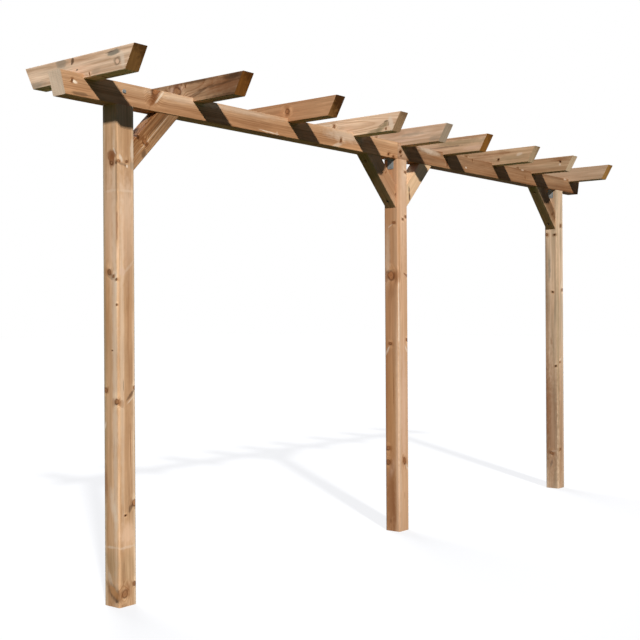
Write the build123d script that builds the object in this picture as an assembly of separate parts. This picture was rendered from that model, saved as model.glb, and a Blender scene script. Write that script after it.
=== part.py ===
from build123d import *
import os

# A single row pergola in planed softwood: three posts carry a beam made of two lengths, and
# nine short rafters are notched over it. Four mitred braces stiffen the corners, and steel angles
# tie the beam to the middle and right posts. The two beam lengths meet over the middle post.
# Millimetres. The origin is the centre of the middle post's foot, +X runs along the beam,
# +Y across it to the back and +Z up.

# Posts
post_side = 95.0
post_height = 2100.0
post_corner_radius = 9.0
bay_left = 2045.0
bay_right = 1960.0

# Beam lengths
beam_width = 78.0
beam_depth = 95.0
beam_overhang = 330.0
beam_joint_offset = -34.0
beam_end_rake = 15.0
beam_arris_radius = 3.0

# Rafters
rafter_width = 70.0
rafter_depth = 95.0
rafter_length = 690.0
rafter_end_rake = 29.5
rafter_notch_depth = 18.0
rafter_notch_clearance = 0.5
rafter_arris_radius = 3.0
rafter_place_shares = (0.0323, 0.1647, 0.3051, 0.4206, 0.5156, 0.6105, 0.7361, 0.8490, 0.9698)

# Braces
brace_width = 70.0
brace_depth = 90.0
brace_leg = 275.0
brace_angle = 45.0
brace_arris_radius = 3.0
pocket_diameter = 16.0
pocket_floor = 18.0
pocket_inset = 36.0

# Angle brackets
bracket_leg = 55.0
bracket_width = 40.0
bracket_thickness = 2.5
bracket_bend_radius = 4.0
bracket_tip_radius = 6.0

# How far a cutting tool runs past the piece
overrun = 20.0

post_places = {"left": -bay_left, "middle": 0.0, "right": bay_right}
beam_start = post_places["left"] - beam_overhang
beam_end = post_places["right"] + beam_overhang
beam_joint = post_places["middle"] + beam_joint_offset
beam_top = post_height + beam_depth


def planed_stock(width, depth, radius, length):
    """A planed length along +X with its four long arrises eased, centred on the origin."""
    section = RectangleRounded(width, depth, radius)
    return Plane.YZ * extrude(section, length / 2, both=True)


def kept_below(piece, point, normal):
    """The piece sawn through a plane, less what lies on the side the normal points to."""
    saw = Plane(origin=point, z_dir=normal)
    return split(piece, bisect_by=saw, keep=Keep.BOTTOM)


def post(place):
    """A square post standing on the ground, its four long corners rounded."""
    section = RectangleRounded(post_side, post_side, post_corner_radius)
    return Pos(place, 0, 0) * extrude(section, post_height)


def beam(start, finish, raked_sign):
    """One beam length on the post tops. Its outer end is raked, with the top edge longer."""
    length = finish - start
    stock = planed_stock(beam_width, beam_depth, beam_arris_radius, length)
    placed = Pos((start + finish) / 2, 0, post_height + beam_depth / 2) * stock
    tip = finish if raked_sign > 0 else start
    normal = Vector(raked_sign, 0, 0).rotate(Axis.Y, raked_sign * beam_end_rake)
    return kept_below(placed, (tip, 0, beam_top), normal)


def rafter(share):
    """A short rafter across the beam, raked at both ends and notched down over the beam."""
    stock = Rot(0, 0, 90) * planed_stock(rafter_width, rafter_depth, rafter_arris_radius, rafter_length)
    for side in (-1, 1):
        normal = Vector(0, side, 0).rotate(Axis.X, -side * rafter_end_rake)
        stock = kept_below(stock, (0, side * rafter_length / 2, rafter_depth / 2), normal)
    notch_length = beam_width + 2 * rafter_notch_clearance
    notch_centre = Pos(0, 0, -rafter_depth / 2)
    notch = notch_centre * Box(rafter_width + 2 * overrun, notch_length, 2 * rafter_notch_depth)
    place = beam_start + share * (beam_end - beam_start)
    lift = beam_top + rafter_depth / 2 - rafter_notch_depth
    return Pos(place, 0, lift) * (stock - notch)


def screw_pockets(leg):
    """Two round pockets for the fixing screws: one level, towards the post, one plumb."""
    depth = pocket_inset - pocket_floor + overrun
    drill = Cylinder(pocket_diameter / 2, depth, align=(Align.CENTER, Align.CENTER, Align.MIN))
    to_post = Pos(pocket_floor, 0, pocket_inset - leg) * Rot(0, 90, 0) * drill
    to_beam = Pos(leg - pocket_inset, 0, -pocket_floor) * Rot(180, 0, 0) * drill
    return to_post + to_beam


def brace_in_corner():
    """A brace in the corner where +X is along the beam and -Z is down the post."""
    reach = brace_leg * 2
    stock = planed_stock(brace_width, brace_depth, brace_arris_radius, reach)
    leaning = Rot(0, -brace_angle, 0) * stock
    outward = Vector(1, 0, 0).rotate(Axis.Y, brace_angle)
    underside = Vector(brace_leg / 2, 0, -brace_leg / 2)
    placed = Pos(underside - outward * (brace_depth / 2)) * leaning
    placed = kept_below(placed, (0, 0, 0), (-1, 0, 0))
    placed = kept_below(placed, (0, 0, 0), (0, 0, 1))
    return placed - screw_pockets(brace_leg)


def bracket_in_corner():
    """A bent steel angle in the same corner, one leg on the post and one under the beam."""
    profile = Polyline(
        (0, 0),
        (bracket_leg, 0),
        (bracket_leg, -bracket_thickness),
        (bracket_thickness, -bracket_thickness),
        (bracket_thickness, -bracket_leg),
        (0, -bracket_leg),
        close=True,
    )
    bent = extrude(Plane.XZ * make_face(profile), bracket_width / 2, both=True)
    inner_bend = bent.edges().filter_by(Axis.Y).sort_by_distance((bracket_thickness, 0, -bracket_thickness))[0]
    bent = fillet(inner_bend, bracket_bend_radius)
    tips = bent.edges().filter_by(Axis.Z).group_by(Axis.X)[-1]
    tips += bent.edges().filter_by(Axis.X).group_by(Axis.Z)[0]
    return fillet(tips, bracket_tip_radius)


def in_corner(piece, place, side):
    """A corner piece set against one side of a post: as made on the right, mirrored on the left."""
    if side < 0:
        piece = mirror(piece, about=Plane.YZ)
    return Pos(place + side * post_side / 2, 0, post_height) * piece


corners = {
    "left": (post_places["left"], 1),
    "middle_left": (post_places["middle"], -1),
    "middle_right": (post_places["middle"], 1),
    "right": (post_places["right"], -1),
}
bracketed_corners = ("middle_left", "middle_right", "right")

nodes = {f"post_{name}": post(place) for name, place in post_places.items()}
nodes["beam_left"] = beam(beam_start, beam_joint, -1)
nodes["beam_right"] = beam(beam_joint, beam_end, 1)
for number, share in enumerate(rafter_place_shares, start=1):
    nodes[f"rafter_{number}"] = rafter(share)
for name, (place, side) in corners.items():
    nodes[f"brace_{name}"] = in_corner(brace_in_corner(), place, side)
for name in bracketed_corners:
    nodes[f"bracket_{name}"] = in_corner(bracket_in_corner(), *corners[name])

os.makedirs("parts", exist_ok=True)
for name, shape in nodes.items():
    export_step(shape, f"parts/{name}.step")
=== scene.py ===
import math
import random
from collections import namedtuple

import bmesh
import bpy
from mathutils import Euler, Matrix, Vector


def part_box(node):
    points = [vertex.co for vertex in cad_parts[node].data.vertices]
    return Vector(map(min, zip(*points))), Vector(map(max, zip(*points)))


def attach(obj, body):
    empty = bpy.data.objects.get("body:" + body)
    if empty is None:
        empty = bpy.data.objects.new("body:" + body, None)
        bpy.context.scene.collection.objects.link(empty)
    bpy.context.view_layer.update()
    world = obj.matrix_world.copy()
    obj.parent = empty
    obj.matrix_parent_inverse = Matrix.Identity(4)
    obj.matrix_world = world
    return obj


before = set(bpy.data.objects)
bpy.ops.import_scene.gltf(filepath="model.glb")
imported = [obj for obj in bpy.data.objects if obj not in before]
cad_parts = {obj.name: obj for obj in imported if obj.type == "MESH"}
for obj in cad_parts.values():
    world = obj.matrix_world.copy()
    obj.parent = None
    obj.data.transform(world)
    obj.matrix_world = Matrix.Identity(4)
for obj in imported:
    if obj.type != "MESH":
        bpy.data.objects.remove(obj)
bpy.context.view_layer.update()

bl_info = {
    "name": "Garden Pergola Dressing",
    "version": (1, 0, 0),
    "blender": (4, 5, 0),
    "location": "View3D > Sidebar > Pergola",
    "description": "Finishes a timber pergola: treated softwood grain, zinc fixings and a studio",
    "category": "Object",
}

MM = 0.001


def linear(hex_colour):
    """An sRGB hex colour as linear red, green, blue and alpha."""
    channels = [int(hex_colour[i:i + 2], 16) / 255 for i in (1, 3, 5)]
    rgb = [c / 12.92 if c <= 0.04045 else ((c + 0.055) / 1.055) ** 2.4 for c in channels]
    return (*rgb, 1.0)


def tinted(hex_colour, factors):
    """A hex colour, linear, with each channel times a factor."""
    red, green, blue, alpha = linear(hex_colour)
    return (red * factors[0], green * factors[1], blue * factors[2], alpha)


def grey(value):
    """A neutral linear colour."""
    return (value, value, value, 1.0)


# The timbers, each a length sawn out of its own log, in millimetres and in the timber's own axes:
# the grain first, then two across.
# pith is where the log's heart lies across the section, tilt how far it strays for each unit of
# length and heart the radius of the redder heartwood, negative where the redder wood lies outside it.
# ring is a year's growth, twice the real 4 mm, which would be too fine to show, bite how dark its
# late wood is and figure how strongly the grain shows. tone is the face colour in plain light and
# stain the share of grey bloom. rise is how far a branch climbs along the grain for each unit that it
# grows outwards. end is the colour of a sawn end and soak the share of it that rain has darkened,
# over 1 where hardly any is left light. Posts and braces hide their ends, so theirs are all alike.
Timber = namedtuple(
    "Timber", "pith tilt heart ring bite figure tone stain rise end soak knots marks",
    defaults=(0.4, "#A87F57", 0.2, (), ()))

# A knot is where a branch comes out: along the grain from the timber's middle, on one of its faces
# and across that face. A dead one, 1, is black, and a live one, 0, only redder than the wood round it.
# rise is given for a branch that climbs otherwise than the timber's other ones.
Knot = namedtuple("Knot", "along face across radius dead rise", defaults=(0.3, None))

# How far a branch is followed in from the face, in its own radii
BRANCH_REACH = 5

# A bruise, smear or stain on a face, or painted shade or a painted highlight where noted, leaning
# anticlockwise from the grain as seen from outside. Those of one timber are laid one over the other,
# in their order.
Mark = namedtuple("Mark", "along face across length width paint share lean", defaults=(0,))

# A mark goes this deep in millimetres, so it keeps to its own face
MARK_DEPTH = 8

# A mark over this area in square millimetres fades out softly, and a smaller one has a firmer edge
BROAD_MARK = 3200
SOFT_EDGE = 0.6
FIRM_EDGE = 0.36

# What the marks are painted with, as it looks in plain light
CREAM = "#F0DAC0"
PEACH = "#F3C9A5"
PINK = "#E6BFA4"
STONE = "#8E8371"
OLIVE = "#8C7A58"
RUSSET = "#8A5530"
AMBER = "#C98E58"
UMBER = "#4A3321"

POSTS = {
    "post_left": Timber(
        pith=(-22, 22), tilt=(0.004, -0.003), heart=-58, ring=9.0, bite=0.45, figure=0.6, rise=0.7,
        tone="#E2C09C", stain=0.05,
        knots=(
            Knot(806, "left", -13, 7, 0.35), Knot(813, "front", 4, 5, 0.5), Knot(812, "front", -40, 6, 0.2),
            Knot(822, "right", -8, 12), Knot(814, "back", 10, 11), Knot(349, "left", 5, 10, 0.5),
            Knot(333, "left", -20, 6, 0.4), Knot(318, "left", -38, 5, 0.6), Knot(340, "right", 14, 11),
            Knot(329, "back", -16, 9), Knot(213, "left", -40, 4, 0.6), Knot(30, "right", 2, 9),
            Knot(22, "left", -11, 3, 0.9, 0.2), Knot(-145, "left", 31, 9, 0.4), Knot(-192, "left", -36, 11),
            Knot(-136, "front", 42, 7, 0.2), Knot(-170, "back", 4, 12), Knot(-622, "front", 38, 11, 0.1),
            Knot(-668, "front", -12, 4, 1.0, 0.2), Knot(-640, "right", -20, 10), Knot(-648, "back", 12, 9),
            Knot(-996, "front", -18, 14, 0.3), Knot(-962, "front", 34, 8, 0.4), Knot(-975, "right", 6, 12),
        ),
        marks=(
            Mark(826, "front", -28, 34, 16, CREAM, 0.6, 24), Mark(862, "front", 34, 100, 20, CREAM, 0.5),
            Mark(800, "front", -16, 12, 52, UMBER, 0.4, -6), Mark(794, "front", 6, 14, 9, CREAM, 0.9),
            Mark(796, "front", -4, 10, 6, UMBER, 0.85), Mark(800, "front", 35, 34, 30, STONE, 0.4),
            Mark(690, "left", -4, 13, 84, CREAM, 0.34, 3), Mark(690, "front", 0, 13, 90, CREAM, 0.3, 2),
            Mark(640, "front", 6, 190, 60, CREAM, 0.25), Mark(0, "left", -26, 2000, 30, CREAM, 0.42),
            Mark(560, "left", 6, 500, 84, PEACH, 0.5), Mark(0, "left", 40, 2000, 26, OLIVE, 0.5),
            Mark(300, "left", 16, 500, 26, AMBER, 0.3), Mark(540, "front", 0, 460, 90, PEACH, 0.45),
            Mark(20, "front", -26, 1400, 24, CREAM, 0.3), Mark(60, "front", 20, 600, 50, RUSSET, 0.28),
            Mark(-430, "front", 8, 420, 50, RUSSET, 0.25), Mark(740, "left", -42, 320, 11, UMBER, 0.5),
            Mark(540, "left", -42, 170, 10, RUSSET, 0.6), Mark(-880, "left", 4, 150, 80, OLIVE, 0.3),
            Mark(-890, "front", 4, 140, 80, OLIVE, 0.25), Mark(371, "front", 12, 76, 14, CREAM, 0.2, -44),
            Mark(350, "front", -24, 34, 30, PINK, 0.45, -30),
            Mark(330, "left", -8, 22, 60, UMBER, 0.4, -20), Mark(300, "left", -34, 160, 16, CREAM, 0.4),
            Mark(-802, "left", -2, 12, 84, CREAM, 0.34, 3), Mark(-802, "front", 0, 12, 90, CREAM, 0.32, 3),
            Mark(-750, "front", -2, 100, 84, PEACH, 0.6), Mark(-167, "front", 18, 68, 14, UMBER, 0.6, -44),
            Mark(-182, "front", 24, 66, 8, CREAM, 0.5, -50), Mark(-124, "front", -20, 60, 3, UMBER, 0.7, 2),
            Mark(-390, "front", 17, 190, 4, RUSSET, 0.6, 1), Mark(-535, "left", 34, 150, 26, RUSSET, 0.5),
            Mark(-636, "left", -14, 150, 34, CREAM, 0.45, 14),
            Mark(-640, "front", 16, 50, 20, UMBER, 0.6, -34),
            Mark(-292, "left", 35, 34, 9, CREAM, 0.5, -10), Mark(-940, "left", 10, 120, 26, CREAM, 0.3, 20),
            Mark(-967, "front", -6, 60, 30, RUSSET, 0.4, -20),
            Mark(-1020, "left", -32, 24, 22, UMBER, 0.65), Mark(838, "left", -13, 52, 58, RUSSET, 0.85, 20),
            Mark(816, "left", -13, 66, 40, RUSSET, 0.85), Mark(803, "left", -13, 26, 16, UMBER, 0.3),
            Mark(804, "left", -41, 16, 13, UMBER, 0.6), Mark(856, "left", -30, 40, 8, CREAM, 0.6, 30),
            Mark(-991, "left", -13, 106, 54, UMBER, 0.66, 48),
            Mark(-988, "left", -15, 82, 31, AMBER, 0.62, 48),
        )),
    "post_middle": Timber(
        pith=(25, 30), tilt=(-0.003, 0.004), heart=52, ring=9.0, bite=0.32, figure=0.36, rise=-0.6,
        tone="#D7AB85", stain=0.04,
        knots=(
            Knot(981, "front", 27, 7, 0.5), Knot(692, "left", -20, 7, 0.4), Knot(713, "front", 0, 6, 0.6),
            Knot(729, "front", 28, 7, 0.4), Knot(700, "right", 4, 11), Knot(396, "left", 2, 22, 0.08),
            Knot(394, "front", 40, 6, 0.3), Knot(398, "right", -16, 12), Knot(386, "back", 8, 12),
            Knot(10, "left", 9, 8, 0.3), Knot(30, "front", 36, 8, 0.5), Knot(24, "back", -12, 11),
            Knot(-583, "left", 28, 11, 0.2), Knot(-662, "left", 28, 13, 0.35),
            Knot(-652, "front", 4, 12, 0.35, -1.4), Knot(-660, "right", 12, 10), Knot(-640, "back", 2, 9),
        ),
        marks=(
            Mark(-880, "left", -6, 330, 26, RUSSET, 0.5, 3), Mark(-992, "left", 12, 26, 8, UMBER, 0.5),
            Mark(-700, "left", 2, 110, 34, PINK, 0.45, -14), Mark(-850, "front", 6, 40, 6, RUSSET, 0.5),
            Mark(-690, "front", 26, 50, 16, CREAM, 0.6, 24), Mark(857, "left", -34, 50, 8, UMBER, 0.5),
            # The first mark on the next line, a thin pale strip on the front-left corner, is paler planed
            # wood and also a painted highlight on that corner
            Mark(190, "front", -42, 400, 7, CREAM, 0.75), Mark(-30, "left", 28, 60, 14, CREAM, 0.5, -28),
            Mark(-20, "front", 26, 56, 14, CREAM, 0.55, 26), Mark(-310, "left", 32, 560, 34, RUSSET, 0.4),
            Mark(500, "left", 24, 330, 34, CREAM, 0.28), Mark(440, "front", -36, 90, 5, RUSSET, 0.5),
            Mark(590, "front", -34, 360, 18, AMBER, 0.5), Mark(-420, "left", 0, 760, 84, AMBER, 0.34),
            Mark(-250, "left", -12, 200, 8, RUSSET, 0.5), Mark(-860, "left", 8, 430, 84, RUSSET, 0.6),
            Mark(-480, "left", -37, 1100, 22, PEACH, 0.5), Mark(-430, "front", -36, 1200, 22, CREAM, 0.25),
            Mark(674, "left", 6, 36, 8, CREAM, 0.4, -58), Mark(960, "front", 14, 190, 60, CREAM, 0.3),
            Mark(780, "front", 10, 620, 84, PEACH, 0.42), Mark(-330, "front", 0, 640, 50, PINK, 0.4),
            Mark(330, "left", 0, 120, 70, RUSSET, 0.3), Mark(420, "left", 10, 16, 60, UMBER, 0.35, 16),
            Mark(401, "front", 19, 10, 36, RUSSET, 0.85, -28),
        )),
    "post_right": Timber(
        pith=(-20, 20), tilt=(0.003, 0.003), heart=24, ring=9.0, bite=0.4, figure=0.5, rise=0.7,
        tone="#DDBC9B", stain=0.24,
        knots=(
            Knot(800, "front", 9, 10, 0.55), Knot(736, "left", -29, 7, 0.9), Knot(739, "left", 33, 9, 0.45),
            Knot(745, "back", 6, 10), Knot(333, "left", -12, 6, 0.9), Knot(348, "front", 28, 9, 0.4),
            Knot(346, "right", 0, 11), Knot(-161, "front", -12, 7, 0.3), Knot(-188, "left", -33, 6, 1.0),
            Knot(-180, "back", 14, 12), Knot(-803, "left", 2, 10, 0.4), Knot(-777, "front", -15, 8, 0.4),
            Knot(-780, "right", 10, 12),
        ),
        marks=(
            Mark(496, "left", 12, 160, 18, STONE, 0.6), Mark(-20, "left", 0, 60, 14, RUSSET, 0.45, 8),
            Mark(-874, "left", 3, 60, 18, STONE, 0.8, -14), Mark(-790, "left", -8, 14, 60, CREAM, 0.5, 14),
            Mark(-150, "front", 0, 60, 14, CREAM, 0.6, -28), Mark(-620, "left", 0, 900, 100, RUSSET, 0.56),
            Mark(-620, "front", 0, 900, 100, RUSSET, 0.46), Mark(80, "left", 10, 700, 60, RUSSET, 0.15),
            Mark(380, "front", 12, 70, 18, CREAM, 0.5, -24), Mark(0, "left", 38, 2000, 34, RUSSET, 0.36),
            Mark(-510, "left", 30, 560, 46, RUSSET, 0.5), Mark(0, "front", -38, 2000, 30, OLIVE, 0.5),
            Mark(0, "front", 26, 1500, 36, CREAM, 0.22),
        )),
}

BEAMS = {
    "beam_left": Timber(
        pith=(40, -70), tilt=(0.003, 0.004), heart=96, ring=7.6, bite=0.65, figure=0.7, rise=0.5,
        tone="#CA9E77", end="#FFDFC0", soak=0.0, stain=0.03,
        knots=(
            Knot(-1112, "front", 12, 5, 0.6), Knot(-660, "top", -32, 22, 0.05, 0.5),
            Knot(648, "front", -8, 8, 0.45), Knot(1080, "front", -30, 5, 0.9, 1.5),
            Knot(1125, "front", -40, 5, 0.8, 1.5), Knot(-640, "under", 6, 10), Knot(470, "under", -12, 9),
            Knot(-420, "back", 8, 10), Knot(220, "back", -16, 9), Knot(840, "back", 12, 11),
            Knot(300, "top", 14, 9),
        ),
        marks=(
            Mark(-1100, "front", 9, 30, 15, CREAM, 0.95, -12),
            Mark(-1065, "front", -36, 110, 14, UMBER, 0.6),
            Mark(-640, "front", 16, 96, 11, CREAM, 0.55, 48),
            Mark(-664, "front", 8, 110, 16, RUSSET, 0.55, 50),
            Mark(77, "front", -39, 150, 6, CREAM, 0.8, -3), Mark(136, "front", -38, 5, 18, CREAM, 0.8),
            Mark(618, "front", -36, 90, 22, CREAM, 0.4, 16), Mark(690, "front", 20, 330, 60, CREAM, 0.42),
            Mark(-480, "front", 30, 420, 34, CREAM, 0.28), Mark(-120, "front", 34, 560, 26, CREAM, 0.28),
        )),
    "beam_right": Timber(
        pith=(40, -66), tilt=(-0.003, 0.005), heart=92, ring=8.4, bite=0.65, figure=0.7, rise=-0.5,
        # The sawn end's dark colour is painted shade, standing for this end as it lies in shadow
        tone="#9F7857", end="#8C6B4C", soak=0.3, stain=0.06,
        knots=(
            Knot(-1136, "front", -4, 8, 0.7, 1.2), Knot(-1130, "front", -24, 5, 0.6, 1.2),
            Knot(-346, "front", 36, 5, 0.5), Knot(338, "front", -6, 5, 0.4),
            Knot(-640, "front", -16, 9, 0.2), Knot(-500, "under", 10, 10), Knot(330, "under", -14, 9),
            Knot(-760, "back", 10, 10), Knot(120, "back", -18, 9), Knot(700, "back", 6, 11),
            Knot(-200, "top", 2, 10),
        ),
        marks=(
            Mark(-1120, "front", 6, 120, 110, PEACH, 0.4), Mark(-840, "front", 36, 210, 34, CREAM, 0.5, -4),
            Mark(-423, "front", -18, 20, 12, CREAM, 0.6), Mark(300, "front", 43, 40, 12, CREAM, 0.4),
            Mark(932, "front", 41, 50, 12, CREAM, 0.45), Mark(-690, "front", -2, 260, 18, RUSSET, 0.4, -4),
        )),
}

RAFTERS = {
    "rafter_1": Timber(
        pith=(-64, 14), tilt=(0.02, 0.01), heart=42, ring=8.0, bite=0.45, figure=0.7, rise=-0.4,
        tone="#EDCAA9", end="#8D6235", soak=0.75, stain=0.14,
        knots=(Knot(-77, "left", -35, 4, 0.6), Knot(180, "right", 12, 10), Knot(-120, "under", 6, 8)),
        marks=(
            Mark(29, "left", 34, 20, 26, UMBER, 0.8), Mark(34, "left", 22, 9, 9, UMBER, 0.8),
            Mark(100, "left", 34, 74, 40, STONE, 0.65), Mark(-222, "left", 28, 84, 24, STONE, 0.9, 5),
            Mark(-204, "left", 33, 60, 5, UMBER, 0.6, 3), Mark(-276, "left", -6, 26, 76, CREAM, 0.5, 12),
            Mark(265, "left", -34, 110, 30, STONE, 0.6), Mark(-120, "left", -30, 60, 24, STONE, 0.3),
            Mark(-246, "left", -9, 42, 36, UMBER, 0.6), Mark(-246, "left", -9, 24, 20, PEACH, 0.95),
        )),
    "rafter_2": Timber(
        pith=(-30, 40), tilt=(0.10, 0.05), heart=150, ring=9.6, bite=1.0, figure=0.9, rise=-0.5,
        tone="#C7AB8E", end="#945C28", soak=0.7, stain=0.10,
        knots=(
            Knot(66, "left", 12, 22, 0.05), Knot(74, "left", 38, 7, 0.85), Knot(26, "left", 26, 4, 0.7),
            Knot(-150, "right", -14, 11), Knot(60, "under", -10, 8),
        ),
        marks=(
            Mark(-300, "left", 0, 240, 120, UMBER, 0.56), Mark(-240, "left", 6, 280, 80, RUSSET, 0.5),
            Mark(-290, "left", 34, 130, 34, UMBER, 0.85, -4), Mark(70, "left", 18, 90, 50, PINK, 0.5),
            Mark(-60, "left", 42, 220, 16, UMBER, 0.6), Mark(-230, "left", -41, 260, 12, UMBER, 0.6),
            Mark(-200, "left", 8, 250, 10, UMBER, 0.5, 4), Mark(-90, "left", -4, 180, 9, UMBER, 0.5, 14),
            Mark(-60, "left", -20, 140, 8, UMBER, 0.45, 18),
        )),
    "rafter_3": Timber(
        pith=(-66, -8), tilt=(-0.02, 0.02), heart=140, ring=8.4, bite=0.4, figure=0.6,
        tone="#DBB28D", end="#9B6939", soak=1.3, stain=0.02,
        knots=(
            Knot(-36, "left", 5, 13, 0.2), Knot(160, "right", 10, 9), Knot(-190, "right", -18, 8),
            Knot(240, "left", 22, 8),
        )),
    "rafter_4": Timber(
        pith=(12, 4), tilt=(0.055, 0.01), heart=6, ring=7.6, bite=1.0, figure=0.5,
        tone="#EBC9A6", end="#BD956F", soak=0.45, stain=0.03,
        knots=(Knot(90, "left", 16, 8), Knot(-60, "right", 4, 11), Knot(200, "under", 0, 8)),
        marks=(
            Mark(-250, "left", 14, 220, 80, PEACH, 0.5), Mark(-284, "left", -10, 30, 80, CREAM, 0.6, 8),
            Mark(-180, "left", -38, 110, 20, OLIVE, 0.6, 9),
            Mark(-222, "left", -26, 84, 34, OLIVE, 0.6, 26), Mark(-250, "left", -8, 40, 28, OLIVE, 0.6, 50),
            Mark(-224, "left", -8, 66, 5, UMBER, 0.4, 26), Mark(-253, "left", 6, 26, 6, UMBER, 0.6, 4),
            Mark(-268, "left", -10, 8, 26, UMBER, 0.5, -16), Mark(-252, "left", -32, 13, 20, RUSSET, 0.9),
        )),
    "rafter_5": Timber(
        pith=(-70, 20), tilt=(0.03, -0.02), heart=40, ring=8.4, bite=0.45, figure=0.55,
        tone="#DEBB9C", end="#CCB095", soak=0.25, stain=0.20,
        knots=(Knot(130, "left", 12, 8), Knot(-170, "right", 8, 10), Knot(30, "right", 24, 8)),
        marks=(
            Mark(-120, "left", 10, 200, 20, STONE, 0.4), Mark(-262, "left", -30, 80, 24, STONE, 0.4),
            Mark(-60, "left", -18, 220, 16, PINK, 0.4),
        )),
    "rafter_6": Timber(
        pith=(-60, -34), tilt=(0.02, 0.03), heart=70, ring=9.0, bite=0.6, figure=0.7, rise=-0.4,
        tone="#D3AD8A", end="#A66C30", soak=0.5, stain=0.08,
        knots=(Knot(70, "right", -12, 10), Knot(190, "left", -10, 9), Knot(-210, "under", 8, 7)),
        marks=(
            Mark(160, "left", 0, 330, 90, PINK, 0.35), Mark(-170, "left", 14, 380, 34, OLIVE, 0.6),
            Mark(-60, "left", -4, 280, 9, UMBER, 0.4), Mark(-250, "left", -24, 160, 26, PINK, 0.4),
            Mark(-180, "left", 38, 300, 14, RUSSET, 0.35),
        )),
    "rafter_7": Timber(
        pith=(-64, 34), tilt=(0.01, 0.04), heart=72, ring=8.0, bite=0.55, figure=0.7,
        tone="#D1AD88", end="#D2AF89", soak=0.5, stain=0.08,
        knots=(
            Knot(-87, "left", -14, 5.5, 1.0, 1.0), Knot(-230, "right", 10, 9), Knot(150, "left", 20, 9),
            Knot(220, "right", -16, 8),
        ),
        marks=(
            Mark(-170, "left", -12, 260, 30, OLIVE, 0.35), Mark(-236, "left", 6, 50, 18, CREAM, 0.45, 10),
            Mark(-40, "left", 22, 320, 16, RUSSET, 0.35), Mark(110, "left", 0, 320, 90, RUSSET, 0.25),
        )),
    "rafter_8": Timber(
        pith=(-66, -24), tilt=(0.02, 0.0), heart=64, ring=8.6, bite=0.5, figure=0.65,
        tone="#C09B77", end="#EFCBA6", soak=0.2, stain=0.08,
        knots=(
            Knot(-256, "left", 15, 5.5, 1.0, 1.0), Knot(60, "left", -6, 7), Knot(-110, "right", 14, 10),
            Knot(130, "under", 4, 8),
        ),
        marks=(Mark(-252, "left", -2, 14, 22, CREAM, 0.5), Mark(-250, "left", 30, 110, 26, RUSSET, 0.45))),
    "rafter_9": Timber(
        pith=(-60, 20), tilt=(0.02, 0.01), heart=40, ring=8.4, bite=0.4, figure=0.45,
        tone="#C6A585", end="#C28B4B", soak=0.4, stain=0.05,
        knots=(Knot(100, "right", 6, 11), Knot(230, "left", 18, 8), Knot(-40, "right", 20, 8))),
}

BRACES = {
    "brace_left": Timber(
        pith=(14, 112), tilt=(0.02, 0.04), heart=110, ring=9.4, bite=1.0, figure=0.8, rise=-0.3,
        tone="#B8926C", stain=0.0,
        knots=(
            Knot(-48, "front", 48, 12, 0.0, 0.0), Knot(-63, "front", 86, 7, 0.9), Knot(70, "back", 38, 9),
        ),
        marks=(
            Mark(-90, "front", 14, 40, 26, UMBER, 0.6, 20), Mark(120, "front", 45, 220, 96, UMBER, 0.42),
            Mark(20, "front", 30, 300, 5, UMBER, 0.5, 1), Mark(60, "front", 52, 240, 5, UMBER, 0.5),
            Mark(40, "front", 66, 300, 6, RUSSET, 0.6, -1), Mark(0, "front", 40, 300, 4, CREAM, 0.4, 1),
        )),
    "brace_middle_left": Timber(
        pith=(40, -70), tilt=(0.0, 0.02), heart=90, ring=8.6, bite=0.4, figure=0.45,
        tone="#D2A883", stain=0.03,
        knots=(Knot(8, "front", 66, 4), Knot(-141, "front", 56, 6, 0.6), Knot(-60, "back", 52, 10)),
        marks=(Mark(-60, "front", 45, 300, 110, RUSSET, 0.36),)),
    "brace_middle_right": Timber(
        pith=(40, 116), tilt=(0.02, 0.0), heart=30, ring=8.6, bite=0.18, figure=0.2,
        tone="#E7C096", stain=0.0,
        knots=(Knot(-70, "back", 46, 9),),
        marks=(
            # The three dark marks at the lower end are painted shade where the brace meets the post
            Mark(-90, "front", 52, 46, 16, UMBER, 0.8, 45),
            Mark(-104, "front", 34, 30, 16, RUSSET, 0.8, 45),
            Mark(-116, "front", 18, 42, 15, UMBER, 0.8, 45),
        )),
    "brace_right": Timber(
        pith=(40, -72), tilt=(0.0, -0.02), heart=90, ring=8.6, bite=0.5, figure=0.6,
        tone="#D9B28A", stain=0.05,
        knots=(Knot(-92, "front", 46, 8, 0.75), Knot(60, "back", 54, 8)),
        marks=(
            Mark(-20, "front", 45, 420, 130, RUSSET, 0.5), Mark(-20, "front", 45, 420, 130, UMBER, 0.55),
            # The next mark, dark at the lower end beside the post, is painted shade where the brace meets
            # the post
            Mark(-110, "front", 66, 150, 40, UMBER, 0.4),
        )),
}

# How a timber's own axes are turned from the frame's: the first runs along the grain
UPRIGHT = Euler((0, math.radians(-90), 0))
LENGTHWAYS = Euler((0, 0, 0))
CROSSWAYS = Euler((0, 0, math.radians(90)))
LEANING_RIGHT = Euler((0, math.radians(-45), 0))
LEANING_LEFT = Euler((0, math.radians(-135), 0))
BRACE_TURNS = {
    "brace_left": LEANING_RIGHT,
    "brace_middle_left": LEANING_LEFT,
    "brace_middle_right": LEANING_RIGHT,
    "brace_right": LEANING_LEFT,
}

FACES = {
    "left": Vector((-1, 0, 0)),
    "right": Vector((1, 0, 0)),
    "front": Vector((0, -1, 0)),
    "back": Vector((0, 1, 0)),
    "under": Vector((0, 0, -1)),
    "top": Vector((0, 0, 1)),
}

# Sockets and settings of the Mix node when it mixes colours, and of an eased Map Range
MIX_A, MIX_B, MIX_OUT = 6, 7, 2
PAINT = {"data_type": "RGBA"}
GLAZE = {"data_type": "RGBA", "blend_type": "MULTIPLY"}
EASED = {"interpolation_type": "SMOOTHSTEP"}


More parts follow.
